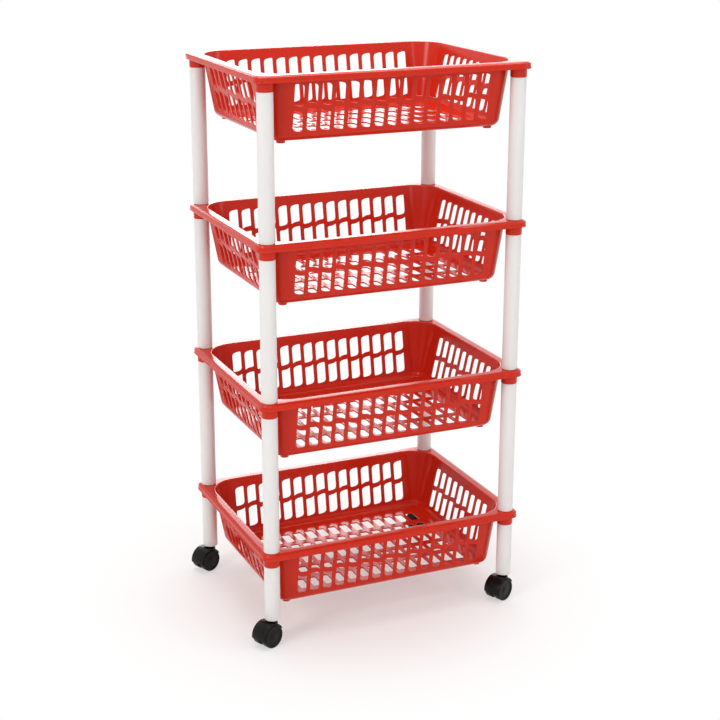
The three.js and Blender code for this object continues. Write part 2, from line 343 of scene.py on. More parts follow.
@dataclass(frozen=True)
class ZincSteel:
    """Zinc-plated steel with lathe lines round the shaft.

    Args:
        name: The material's name.
        colour: Its colour.
        dull: The greyer colour of its dull patches.
        roughness: The least and the greatest roughness.
    """

    name: str
    colour: Colour
    dull: Colour
    roughness: Point

    LINES = 200
    LATHE = (1, 1, 12)  # the lines run round the shaft
    PATCHES = 150

    def build(self) -> bpy.types.Material:
        """Builds the material.

        Returns:
            The finished material.
        """
        shading = Shading(self.name)
        lines = shading.noise(self.LINES, 2, shading.place(self.LATHE))
        patches = shading.noise(self.PATCHES, 3)
        return shading.finish(
            {
                "Base Color": shading.blend(patches, self.colour, self.dull),
                "Metallic": 1.0,
                "Roughness": between(self.roughness, lines),
                "Normal": shading.bump(lines, 0.03 * MM, 0.3),
            }
        )


RED = MouldedGloss(
    "red_moulding",
    colour=(0.56, 0.018, 0.004),
    cloud=(0.62, 0.026, 0.008),
    roughness=(0.14, 0.22),
    gloss=0.23,
)
WHITE = ExtrudedSatin(
    "white_tube",
    colour=(0.82, 0.82, 0.80),
    shade=(0.77, 0.77, 0.76),
    roughness=(0.34, 0.46),
)
BLACK = GrainedNylon(
    "black_castor",
    colour=(0.004, 0.004, 0.003),
    dust=(0.007, 0.006, 0.005),
    roughness=(0.18, 0.32),
    grain=0.5 * MM,
)
TREAD = GrainedNylon(
    "black_tread",
    colour=(0.005, 0.005, 0.004),
    dust=(0.009, 0.008, 0.007),
    roughness=(0.22, 0.36),
    grain=0.7 * MM,
)
STEEL = ZincSteel(
    "zinc_steel",
    colour=(0.62, 0.63, 0.65),
    dull=(0.46, 0.47, 0.49),
    roughness=(0.25, 0.45),
)


# ---------------------------------------------------------------- mesh tools


def rounded(corners: Sequence[tuple[float, float, float]], segments: int = 4) -> list[Point]:
    """Rounds the corners of an outline.

    Args:
        corners: Each corner's two coordinates and its radius, in order round the outline.
        segments: Steps of each rounded corner.

    Returns:
        The outline's points.
    """
    points: list[Point] = []
    count = len(corners)
    for i, (x, y, radius) in enumerate(corners):
        here = Vector((x, y))
        if radius <= 0:
            points.append((x, y))
            continue
        before = (Vector(corners[i - 1][:2]) - here).normalized()
        after = (Vector(corners[(i + 1) % count][:2]) - here).normalized()
        half = before.angle(after) / 2
        reach = radius / math.tan(half)
        centre = here + (before + after).normalized() * (radius / math.sin(half))
        start, end = here + before * reach - centre, here + after * reach - centre
        turn = start.angle_signed(end)
        for step in range(segments + 1):
            spoke = start.copy()
            spoke.rotate(Matrix.Rotation(-turn * step / segments, 2))
            points.append(tuple(centre + spoke))
    return points


def turned(profile: Sequence[Point], steps: int, closed: bool = True) -> BMesh:
    """Turns a profile about Z.

    Args:
        profile: Points of radius and height. It closes on itself, or starts and ends on the axis.
        steps: Facets round the turn.
        closed: Whether the profile closes on itself.

    Returns:
        The turned shape, with its faces pointing out.
    """
    bm = bmesh.new()
    verts = [bm.verts.new((radius, 0, height)) for radius, height in profile]
    pairs = list(zip(verts, verts[1:])) + ([(verts[-1], verts[0])] if closed else [])
    edges = [bm.edges.new(pair) for pair in pairs]
    bmesh.ops.spin(
        bm,
        geom=verts + edges,
        cent=(0, 0, 0),
        axis=(0, 0, 1),
        dvec=(0, 0, 0),
        angle=2 * math.pi,
        steps=steps,
        use_merge=True,
        use_duplicate=False,
    )
    tidy(bm)
    return bm


def tidy(bm: BMesh) -> None:
    """Welds doubles and turns the faces of a closed shape outwards."""
    bmesh.ops.remove_doubles(bm, verts=bm.verts, dist=WELD)
    bmesh.ops.recalc_face_normals(bm, faces=bm.faces)


def moved(bm: BMesh, matrix: Matrix) -> BMesh:
    """Transforms a whole shape and returns it."""
    bmesh.ops.transform(bm, matrix=matrix, verts=bm.verts)
    return bm


def absorb(bm: BMesh, other: BMesh) -> None:
    """Adds another shape to this one and frees it.

    Args:
        bm: The shape that grows.
        other: The shape that is added and freed.
    """
    carrier = bpy.data.meshes.new("carrier")
    other.to_mesh(carrier)
    other.free()
    bm.from_mesh(carrier)
    bpy.data.meshes.remove(carrier)


@dataclass(frozen=True)
class Piece:
    """A finished piece of the trolley.

    Args:
        name: The piece's name.
        body: The CAD body that it rides on.
        nodes: The CAD nodes that it stands for.
        slot: The material slot that the piece belongs to; not used.
    """

    name: str
    body: str
    nodes: tuple[str, ...]
    slot: str

    def make(self, bm: BMesh, material: bpy.types.Material) -> bpy.types.Object:
        """Turns a shape into the piece's object, in place, and frees the shape.

        Args:
            bm: The shape, in its place.
            material: The piece's finish.

        Returns:
            The piece's object.
        """
        bm.normal_update()
        for face in bm.faces:
            face.smooth = True
        for edge in bm.edges:
            edge.smooth = len(edge.link_faces) == 2 and edge.calc_face_angle() < SMOOTH_ANGLE
        mesh = bpy.data.meshes.new(self.name)
        triangles = sum(len(face.verts) - 2 for face in bm.faces)
        bm.to_mesh(mesh)
        bm.free()
        mesh.materials.append(material)
        made = bpy.data.objects.new(self.name, mesh)
        bpy.context.scene.collection.objects.link(made)
        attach(made, self.body)
        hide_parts(*self.nodes)
        LOG.info("%s rides on %s, %d triangles", self.name, self.body, triangles)
        return made


# ---------------------------------------------------------------- basket


class Bend(Enum):
    """How the slanting end of a slot runs, seen from outside and going right."""

    EARLY = "falls, then runs level"
    LATE = "runs level, then falls"

    def drop(self, share: float) -> float:
        """Follows the end down from its highest point.

        Args:
            share: How far across the slot, from 0 to 1.

        Returns:
            How far the end has dropped there, from 0 to 1.
        """
        late = self is Bend.LATE
        along = share if late else 1 - share
        over = max(0.0, (along - SlotForm.LEVEL_SHARE) / (1 - SlotForm.LEVEL_SHARE))
        round_part = 1 - math.sqrt(max(0.0, 1 - over * over))
        dropped = SlotForm.SLOPE_SHARE * along + (1 - SlotForm.SLOPE_SHARE) * round_part
        return dropped if late else 1 - dropped


@dataclass(frozen=True)
class SlotForm:
    """Outline of one slot, in distances across and down its panel.

    Args:
        width: Across the slot.
        top: Depth of the top end where it is highest.
        bottom: Depth of the bottom end where it is highest.
        top_bend: Bend of the top end, or None where it is straight and level.
        bottom_bend: The same for the bottom end.
        slant: Drop of a bent end.
        corner: Radius of the corners.
    """

    LEVEL_SHARE = 0.35  # how much of a bent end's width runs almost level
    SLOPE_SHARE = 0.22  # how much of its drop is a straight slope
    END_CUTS = 7
    SIDE_CUTS = 2
    DIAGONAL = 0.29  # how far a corner's middle lies in from its sides, as a share of its radius

    width: float
    top: float
    bottom: float
    top_bend: Bend | None
    bottom_bend: Bend | None
    slant: float = 5.2 * MM
    corner: float = 1.8 * MM

    def _depth(self, end: float, bend: Bend | None, across: float) -> float:
        """Returns the depth of an end at a distance across the slot."""
        share = min(max(across / self.width + 0.5, 0.0), 1.0)
        return end if bend is None else end + self.slant * bend.drop(share)

    def _end(self, end: float, bend: Bend | None, inward: float) -> list[Point]:
        """Lays out one end of the slot, with its corners rounded.

        Args:
            end: Depth of the end where it is highest.
            bend: Its bend, or None where it is straight and level.
            inward: 1 if the slot lies below the end, or -1 if it lies above.

        Returns:
            The end's points from left to right.
        """
        half, corner = self.width / 2, self.corner
        cut = self.DIAGONAL * corner
        count = self.END_CUTS - 2
        spacing = [math.sin(QUARTER_TURN * (2 * (i + 1) / (count + 1) - 1)) for i in range(count)]
        inner = [(half - corner) * share for share in spacing]
        acrosses = [-half, -half + cut, -half + corner, *inner, half - corner, half - cut, half]
        lifts = [corner, cut, 0.0, *[0.0] * count, 0.0, cut, corner]
        return [
            (across, self._depth(end, bend, across) + inward * lift)
            for across, lift in zip(acrosses, lifts)
        ]

    def points(self) -> list[Point]:
        """Goes round the outline.

        Returns:
            Its points, clockwise from the middle of the top left corner.
        """
        top = self._end(self.top, self.top_bend, 1)
        bottom = self._end(self.bottom, self.bottom_bend, -1)
        return [*top[1:], *reversed(bottom), top[0]]


@dataclass(frozen=True)
class Panel:
    """A flat panel of the basket that slots are cut in.

    Args:
        place: Gives the point at a distance across and down the panel.
        locate: Gives the distances across and down of a point.
        facing: The way the panel's visible side faces, roughly.
        columns: Slots in a row.
        slot_at: Gives the slot at a column and a distance down, or None outside the rows.
    """

    place: Callable[[float, float], Vector]
    locate: Callable[[Vector], Point]
    facing: Vector
    columns: int
    slot_at: Callable[[int, float], SlotForm | None]


@dataclass(frozen=True)
class Cell:
    """One face of a panel and the slot that opens it.

    Args:
        face: The face.
        panel: The panel that it belongs to.
        middle: Distance across the panel of the slot's middle.
        form: The slot's outline.
    """

    face: BMFace
    panel: Panel
    middle: float
    form: SlotForm

    def shape(self) -> None:
        """Moves the face's corners and cuts onto the slot's outline."""
        verts = [loop.vert for loop in self.face.loops]
        where = [self.panel.locate(vert.co) for vert in verts]
        corners = [i for i, vert in enumerate(verts) if len(vert.link_edges) > 2]
        first = min(corners, key=lambda i: where[i][0] + where[i][1])
        following = corners[(corners.index(first) + 1) % len(corners)]
        clockwise = where[following][0] > where[first][0] + self.form.width / 4
        step = 1 if clockwise else -1
        for i, (across, down) in enumerate(self.form.points()):
            vert = verts[(first + step * i) % len(verts)]
            vert.co = self.panel.place(self.middle + across, down)


@dataclass(frozen=True)
class BasketForm:
    """Sizes of the moulded basket, in metres; depths run down from the rim's top.

    Args:
        length: Over the rim, along X.
        width: Over the rim, along Y.
        depth: From the rim's top to the floor's underside.
        short_wall_lean: How far the short walls lean in over the lean depth.
        long_wall_lean: How far the long walls lean in over the lean depth.
        lean_depth: The depth over which the leans are measured.
        wall: Thickness of the moulding.
        flange: Width of the rim outside the walls.
        skirt: Insets and depths of the rim's section, in millimetres, from the skirt's lower
            edge up and in to the mouth.
        rim_corner: Radius of the rim's corners.
        mouth_corner: Radius of the inner corners at the rim.
        mouth_radius: Radius of the roll from the rim down into the walls.
        bottom_corner: Radius of the outer corners at the floor.
        bottom_edge: Radius of the bend from the walls to the floor.
        pitch: Distance between two slots of a row.
        slot_width: Width of a wall's slot.
        floor_slot: Width and length of a floor slot.
        floor_slot_corner: Radius of its corners.
        floor_pitch: Distance between two rows of floor slots.
        floor_rows: Rows of floor slots.
        long_columns: Slots in a row of a long wall or the floor.
        short_columns: Slots in a row of a short wall.
        row_ends: Depths of the wall slots' ends, for the upper row and then the lower.
        row_lines: Depths of the lines above, between and below the two rows.
        slot_bevel: Width of the slots' softened edges.
        boss_radius: Outer radius of the boss under each corner.
        boss_bore: Radius of its bore.
        boss_depth: Depth of its lower end.
        foot_radius: Radius of the foot under each corner.
        foot_height: Its height below the floor.
        foot_inset: Its distance in from the outer faces at the floor.
        arc_steps: Steps of each corner of a ring.
        straight_steps: How many of them run straight on each side of a rim's corner.
        bend_steps: Steps of the bend from the walls to the floor.
        roll_steps: Steps of the roll at the mouth.
    """

    length: float = 435 * MM
    width: float = 330 * MM
    depth: float = 97.8 * MM
    short_wall_lean: float = 21.5 * MM
    long_wall_lean: float = 17.5 * MM
    lean_depth: float = 98 * MM
    wall: float = 2.2 * MM
    flange: float = 16.5 * MM
    skirt: tuple[Point, ...] = (
        (0.9, 10.5), (0.3, 10.3), (0.0, 9.8), (0.0, 9.1), (0.2, 8.6), (0.7, 8.3),
        (0.8, 7.6), (0.8, 3.6), (0.9, 2.9), (1.3, 2.2), (2.0, 1.8), (3.9, 1.0),
        (4.6, 0.45), (5.4, 0.25), (6.3, 0.2),
    )  # fmt: skip
    rim_corner: float = 14 * MM
    mouth_corner: float = 45 * MM
    mouth_radius: float = 1.5 * MM
    bottom_corner: float = 16 * MM
    bottom_edge: float = 8.8 * MM
    pitch: float = 21 * MM
    slot_width: float = 15 * MM
    floor_slot: Point = (14 * MM, 31.5 * MM)
    floor_slot_corner: float = 2.6 * MM
    floor_pitch: float = 42 * MM
    floor_rows: int = 5
    long_columns: int = 15
    short_columns: int = 9
    row_ends: tuple[Point, Point] = ((14.8 * MM, 42.2 * MM), (49.9 * MM, 79.2 * MM))
    row_lines: tuple[float, float, float] = (11.5 * MM, 48.6 * MM, 85.6 * MM)
    slot_bevel: float = 0.32 * MM
    boss_radius: float = 12.5 * MM
    boss_bore: float = 9.4 * MM
    boss_depth: float = 23 * MM
    foot_radius: float = 7 * MM
    foot_height: float = 3.5 * MM
    foot_inset: float = 16 * MM
    arc_steps: int = 16
    straight_steps: int = 5
    bend_steps: int = 6
    roll_steps: int = 4

    @property
    def flat_half(self) -> Point:
        """The half length and half width of the rim's opening that lie between its corners."""
        margin = self.flange + self.mouth_corner
        return self.length / 2 - margin, self.width / 2 - margin

    @property
    def floor_height(self) -> float:
        """The height of the floor's upper face, which is negative, as the rim's top is 0."""
        return self.wall - self.depth

    def wall_half(self, depth: float) -> tuple[float, float, float]:
        """Measures the walls' inner face.

        Args:
            depth: The depth to measure at.

        Returns:
            Its half length, half width and corner radius there.
        """
        share = depth / self.lean_depth
        return (
            self.length / 2 - self.flange - self.short_wall_lean * share,
            self.width / 2 - self.flange - self.long_wall_lean * share,
            self.mouth_corner + (self.bottom_corner - self.wall - self.mouth_corner) * share,
        )


@dataclass
class Basket:
    """One moulded basket: slotted panels, rim, bosses and feet.

    Its shape is built round the middle of its rim's top, and moved to its tier at the end.

    Args:
        tier: The tier's number, from 1 at the bottom.
        form: The sizes that the baskets share.
        posts: The posts' axes.
    """

    tier: int
    form: BasketForm
    posts: Sequence[Vector]
    centre: Vector = field(init=False)

    BAR_MARGIN = 0.2 * MM  # between the last bars of a row and the corners
    CORNER_MARGIN = 0.5 * MM  # between a rim corner's straight runs and the rows
    OUTER_LAND = 0.9 * MM  # flat band between the skirt's section and the mouth's roll
    INNER_LAND = 0.8 * MM  # flat band between the roll and the walls
    FLOOR_LAND = 1.2 * MM  # flat band between the bend and the floor panel's border
    SLOT_INSET = 1 * MM  # a face is inset by this before it takes its slot's outline
    SHARP_ANGLE = math.radians(60)  # edges that bend more than this are softened
    FACING = 0.9  # least cosine between a slotted face's normal and its panel's
    BOSS_FACETS = 48
    FOOT_FACETS = 32

    def __post_init__(self) -> None:
        """Finds the middle of the rim's top in the frame."""
        low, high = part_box(f"basket_{self.tier}")
        self.centre = Vector(((low.x + high.x) / 2, (low.y + high.y) / 2, high.z))

    # rings

    def _lines(self, columns: int, limit: float) -> list[float]:
        """Finds the bars' middles along a wall.

        Args:
            columns: Slots in a row of the wall.
            limit: How far from the wall's middle they may lie.

        Returns:
            Their distances across the wall.
        """
        half = columns / 2
        places = [(i - half) * self.form.pitch for i in range(columns + 1)]
        return [min(max(place, -limit), limit) for place in places]

    def _ring(self, half: Point, radius: float, depth: float, square: bool) -> list[Vector]:
        """Returns a ring of the skin, anticlockwise from the front wall's left end.

        Args:
            half: Half length and half width.
            radius: Corner radius.
            depth: Depth below the rim's top.
            square: Whether the ring belongs to the rim, whose corners are tight.

        Returns:
            The ring's points.
        """
        form = self.form
        limit_x, limit_y = (flat - self.BAR_MARGIN for flat in form.flat_half)
        corner = self._tight_corner(half, radius) if square else self._round_corner(half, radius)
        front = [(x, -half[1]) for x in self._lines(form.long_columns, limit_x)]
        side = [(half[0], y) for y in self._lines(form.short_columns, limit_y)]
        quarter = [(x, -y) for x, y in reversed(corner)]
        points = front + quarter + side + corner
        points += [(-x, -y) for x, y in points]
        return [Vector((x, y, -depth)) for x, y in points]

    def _arc(self, half: Point, radius: float, steps: int) -> list[Point]:
        """Draws the rear right corner of a rounded rectangle, anticlockwise.

        Args:
            half: The rectangle's half length and half width.
            radius: Its corner radius.
            steps: Steps of the arc.

        Returns:
            The arc's points.
        """
        x, y = half[0] - radius, half[1] - radius
        angles = [QUARTER_TURN * i / steps for i in range(steps + 1)]
        return [(x + radius * math.cos(angle), y + radius * math.sin(angle)) for angle in angles]

    def _round_corner(self, half: Point, radius: float) -> list[Point]:
        """Returns the rear right corner of a wall's ring, anticlockwise."""
        return self._arc(half, radius, self.form.arc_steps)

    def _tight_corner(self, half: Point, radius: float) -> list[Point]:
        """Draws the rear right corner of a rim's ring, with straight runs beside its arc.

        Args:
            half: The ring's half length and half width.
            radius: Its corner radius.

        Returns:
            As many points as a wall's corner has, anticlockwise.
        """
        run = self.form.straight_steps
        arc = self._arc(half, radius, self.form.arc_steps - 2 * run)
        x, y = half[0] - radius, half[1] - radius
        start_x, start_y = (flat + self.CORNER_MARGIN for flat in self.form.flat_half)
        before = [(half[0], start_y + (y - start_y) * i / run) for i in range(run)]
        after = [(x + (start_x - x) * (i + 1) / run, half[1]) for i in range(run)]
        return before + arc + after

    def _rim_ring(self, inset: float, depth: float) -> list[Vector]:
        """Makes a ring of the rim.

        Args:
            inset: Its distance in from the rim's outline.
            depth: Its depth.

        Returns:
            The ring's points.
        """
        form = self.form
        half = (form.length / 2 - inset, form.width / 2 - inset)
        return self._ring(half, form.rim_corner - inset, depth, square=True)

    def _wall_ring(self, inset: float, depth: float) -> list[Vector]:
        """Makes a ring of the walls or the floor.

        Args:
            inset: Its distance in from the walls' inner face.
            depth: Its depth.

        Returns:
            The ring's points.
        """
        half_x, half_y, radius = self.form.wall_half(depth)
        half = (half_x - inset, half_y - inset)
        return self._ring(half, radius - inset, depth, square=False)

    def _skin_rings(self) -> list[list[Vector]]:
        """Lays out the skin's visible side.

        Returns:
            Its rings, from the skirt's lower edge over the rim and down to the floor.
        """
        form = self.form
        rings = [self._rim_ring(inset * MM, depth * MM) for inset, depth in form.skirt]
        rings.append(self._wall_ring(-form.mouth_radius - self.OUTER_LAND, 0))
        for i in range(form.roll_steps + 1):
            angle = QUARTER_TURN * i / form.roll_steps
            out = form.mouth_radius * (1 - math.sin(angle))
            rings.append(self._wall_ring(-out, form.mouth_radius * (1 - math.cos(angle))))
        rings.append(self._wall_ring(0, form.mouth_radius + self.INNER_LAND))
        rings += [self._wall_ring(0, depth) for depth in form.row_lines]
        for i in range(form.bend_steps + 1):
            angle = QUARTER_TURN * i / form.bend_steps
            inset = form.bottom_edge * (1 - math.cos(angle))
            rise = form.bottom_edge * (1 - math.sin(angle))
            rings.append(self._wall_ring(inset, -form.floor_height - rise))
        rings.append(self._wall_ring(form.bottom_edge + self.FLOOR_LAND, -form.floor_height))
        return rings

    # skin

    def _stretch_skin(self, bm: BMesh) -> list[BMVert]:
        """Builds the skin ring by ring, by extruding its free edge.

        Args:
            bm: The basket's shape, still empty.

        Returns:
            The last ring's vertices.
        """
        rings = self._skin_rings()
        made = bmesh.ops.create_circle(bm, cap_ends=False, radius=1, segments=len(rings[0]))
        verts = made["verts"]
        for vert, place in zip(verts, rings[0]):
            vert.co = place
        edges = list(bm.edges)
        for ring in rings[1:]:
            grown = bmesh.ops.extrude_edge_only(bm, edges=edges)["geom"]
            fresh = {item for item in grown if isinstance(item, BMVert)}
            edges = [item for item in grown if isinstance(item, BMEdge)]
            verts = [
                next(e.other_vert(v) for e in v.link_edges if e.other_vert(v) in fresh)
                for v in verts
            ]
            for vert, place in zip(verts, ring):
                vert.co = place
        return verts

    def _lay_floor(self, bm: BMesh, border: list[BMVert]) -> None:
        """Adds the floor panel's grid and joins it to the skin's last ring.

        Args:
            bm: The basket's shape.
            border: The skin's last ring.
        """
        form = self.form
        half_x = form.long_columns * form.pitch / 2
        half_y = form.floor_rows * form.floor_pitch / 2
        spread = Matrix.Diagonal((half_x, half_y, 1, 1))
        grid = bmesh.ops.create_grid(
            bm,
            x_segments=form.long_columns,
            y_segments=form.floor_rows,
            size=1,
            matrix=Matrix.Translation((0, 0, form.floor_height)) @ spread,
        )["verts"]
        gap = {*grid, *border}
        edges = [edge for edge in bm.edges if edge.is_boundary and gap.issuperset(edge.verts)]
        bmesh.ops.triangle_fill(bm, edges=edges, use_beauty=True, normal=(0, 0, 1))

    def _wall_panel(self, turn: int) -> Panel:
        """Describes one wall.

        Args:
            turn: Its quarter turns anticlockwise from the front wall.

        Returns:
            The wall as a panel.
        """
        form = self.form
        rotation = Matrix.Rotation(turn * QUARTER_TURN, 3, "Z")
        is_short = turn % 2 == 1

        def place(across: float, down: float) -> Vector:
            """Returns the point of the wall's inner face at these distances."""
            half_length, half_width, _ = form.wall_half(down)
            return rotation @ Vector((across, -(half_length if is_short else half_width), -down))

        def locate(point: Vector) -> Point:
            """Returns a point's distances across and down the wall."""
            local = rotation.inverted() @ point
            return local.x, -local.z

        columns = form.short_columns if is_short else form.long_columns
        return Panel(place, locate, rotation @ Vector((0, 1, 0)), columns, self._wall_slot)

    def _floor_panel(self) -> Panel:
        """Describes the floor, whose rows are counted from its middle towards the front.

        Returns:
            The floor as a panel.
        """
        return Panel(
            place=lambda across, down: Vector((across, -down, self.form.floor_height)),
            locate=lambda point: (point.x, -point.y),
            facing=Vector((0, 0, 1)),
            columns=self.form.long_columns,
            slot_at=lambda column, down: self._floor_slot(down),
        )

    def _wall_slot(self, column: int, down: float) -> SlotForm | None:
        """Chooses the slot of a wall's face.

        Args:
            column: The face's column, from 0 at the left.
            down: The depth of the face's middle.

        Returns:
            The slot's outline, or None if the face lies above or below both rows.
        """
        form = self.form
        top_line, middle_line, bottom_line = form.row_lines
        if not top_line < down <= bottom_line:
            return None
        divider = Bend.EARLY if column % 2 == 0 else Bend.LATE
        if down <= middle_line:
            return SlotForm(form.slot_width, *form.row_ends[0], Bend.LATE, divider)
        return SlotForm(form.slot_width, *form.row_ends[1], divider, Bend.EARLY)

    def _floor_slot(self, down: float) -> SlotForm | None:
        """Chooses the slot of a floor's face.

        Args:
            down: The distance of the face's middle from the floor's, towards the front.

        Returns:
            The slot's outline, or None if the face lies outside the rows.
        """
        form = self.form
        row = round(down / form.floor_pitch)
        if abs(row) > form.floor_rows // 2:
            return None
        wide, long = form.floor_slot
        top = row * form.floor_pitch - long / 2
        return SlotForm(wide, top, top + long, None, None, corner=form.floor_slot_corner)

    def _cell(self, face: BMFace, panel: Panel) -> Cell | None:
        """Finds the cell that a face is.

        Args:
            face: A face of the skin.
            panel: The panel that it may belong to.

        Returns:
            The cell, or None if no slot opens the face.
        """
        form = self.form
        if len(face.verts) != 4 or face.normal.dot(panel.facing) < self.FACING:
            return None
        across, down = panel.locate(face.calc_center_median())
        half = (panel.columns - 1) / 2
        column = round(across / form.pitch + half)
        middle = (column - half) * form.pitch
        if not 0 <= column < panel.columns or abs(across - middle) > form.pitch / 4:
            return None
        slot = panel.slot_at(column, down)
        return Cell(face, panel, middle, slot) if slot else None

    def _open_slots(self, bm: BMesh) -> None:
        """Opens every slot of the walls and the floor.

        Args:
            bm: The skin, whose normals point to its visible side.
        """
        bm.normal_update()
        cells: list[Cell] = []
        for panel in [*(self._wall_panel(turn) for turn in range(4)), self._floor_panel()]:
            found = (self._cell(face, panel) for face in bm.faces)
            cells += [cell for cell in found if cell]
        faces = [cell.face for cell in cells]
        bmesh.ops.inset_individual(
            bm, faces=faces, thickness=self.SLOT_INSET, use_even_offset=True
        )
        ends: list[BMEdge] = []
        sides: list[BMEdge] = []
        for cell in cells:
            for edge in cell.face.edges:
                start, end = (cell.panel.locate(vert.co) for vert in edge.verts)
                runs_across = abs(end[0] - start[0]) > abs(end[1] - start[1])
                (ends if runs_across else sides).append(edge)
        bmesh.ops.bisect_edges(bm, edges=ends, cuts=SlotForm.END_CUTS)
        bmesh.ops.bisect_edges(bm, edges=sides, cuts=SlotForm.SIDE_CUTS)
        for cell in cells:
            cell.shape()
        bmesh.ops.delete(bm, geom=faces, context="FACES_ONLY")
        LOG.info("basket %d has %d slots", self.tier, len(cells))

    def _thicken(self, bm: BMesh) -> None:
        """Gives the skin its wall and softens the slots' edges.

        Args:
            bm: The slotted skin.
        """
        form = self.form
        bmesh.ops.remove_doubles(bm, verts=bm.verts, dist=WELD)
        bmesh.ops.solidify(bm, geom=list(bm.faces), thickness=form.wall)
        bm.normal_update()
        sharp = [
            edge
            for edge in bm.edges
            if len(edge.link_faces) == 2
            and edge.calc_face_angle() > self.SHARP_ANGLE
            and -edge.verts[0].co.z > form.row_lines[0]
        ]
        bmesh.ops.bevel(
            bm,
            geom=sharp,
            offset=form.slot_bevel,
            offset_type="OFFSET",
            segments=1,
            profile=0.5,
            affect="EDGES",
            clamp_overlap=False,
            material=-1,
            loop_slide=True,
        )

    # corner fittings

    def _boss(self, post: Vector) -> BMesh:
        """Makes the boss under one corner of the rim.

        Args:
            post: The axis of the post at that corner.

        Returns:
            The boss.
        """
        form = self.form
        top = -form.wall / 2
        low = -form.boss_depth
        outer, bore = form.boss_radius, form.boss_bore
        profile = rounded(
            [
                (outer, top, 0),
                (outer, low, 1.1 * MM),
                (bore, low, 0.4 * MM),
                (bore, top, 0),
            ]
        )
        side = post - self.centre
        boss = turned(profile, self.BOSS_FACETS)
        return moved(boss, Matrix.Translation((side.x, side.y, 0)))

    def _foot(self, post: Vector) -> BMesh:
        """Makes the foot under one corner of the floor.

        Args:
            post: The axis of the post at that corner.

        Returns:
            The foot.
        """
        form = self.form
        half_x, half_y, _ = form.wall_half(form.lean_depth)
        side = post - self.centre
        x = math.copysign(half_x + form.wall - form.foot_inset, side.x)
        y = math.copysign(half_y + form.wall - form.foot_inset, side.y)
        top = form.wall / 2
        low = -form.foot_height
        profile = rounded(
            [
                (0, low, 0),
                (form.foot_radius - 0.8 * MM, low, 0.8 * MM),
                (form.foot_radius, top, 0),
                (0, top, 0),
            ]
        )
        foot = turned(profile, self.FOOT_FACETS, closed=False)
        return moved(foot, Matrix.Translation((x, y, -form.depth)))

    def build(self, material: bpy.types.Material) -> bpy.types.Object:
        """Builds the basket at its tier.

        Args:
            material: The moulding's finish.

        Returns:
            The basket's object.
        """
        bm = bmesh.new()
        border = self._stretch_skin(bm)
        self._lay_floor(bm, border)
        tidy(bm)
        floor = max(bm.faces, key=lambda face: -face.calc_center_median().z + face.calc_area())
        if floor.normal.z < 0:
            bmesh.ops.reverse_faces(bm, faces=bm.faces)
        self._open_slots(bm)
        self._thicken(bm)
        for post in self.posts:
            absorb(bm, self._boss(post))
            absorb(bm, self._foot(post))
        moved(bm, Matrix.Translation(self.centre))
        node = f"basket_{self.tier}"
        return Piece(f"{node}_moulding", "frame", (node,), "basket").make(bm, material)


# ---------------------------------------------------------------- posts


@dataclass
class Tube:
    """One plastic tube of a post, with its spigot and softened ends.

    Args:
        node: The CAD node that it stands for.
        shoulder: Height of its shoulder, which carries a basket's boss.
        radius: Outer radius.
        spigot: Radius of the spigot above the shoulder.
        spigot_wall: Wall of the spigot.
        bore: Radius of the bore, which takes the spigot of the tube below.
        neck: Thickness of the end wall under the shoulder.
    """

    node: str
    shoulder: float
    radius: float = 12 * MM
    spigot: float = 9 * MM
    spigot_wall: float = 1.8 * MM
    bore: float = 9.35 * MM
    neck: float = 3 * MM

    FACETS = 64

    def build(self, material: bpy.types.Material) -> bpy.types.Object:
        """Builds the tube in its place.

        Args:
            material: The tube's finish.

        Returns:
            The tube's object.
        """
        low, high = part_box(self.node)
        inner = self.spigot - self.spigot_wall
        profile = rounded(
            [
                (self.radius, low.z, 0.5 * MM),
                (self.radius, self.shoulder, 0.5 * MM),
                (self.spigot, self.shoulder, 0),
                (self.spigot, high.z, 0.4 * MM),
                (inner, high.z, 0),
                (inner, self.shoulder - self.neck, 0),
                (self.bore, self.shoulder - self.neck, 0),
                (self.bore, low.z, 0.3 * MM),
            ],
            3,
        )
        centre = (low + high) / 2
        bm = turned(profile, self.FACETS)
        moved(bm, Matrix.Translation((centre.x, centre.y, 0)))
        return Piece(f"{self.node}_shell", "frame", (self.node,), "tube").make(bm, material)


# ---------------------------------------------------------------- castor


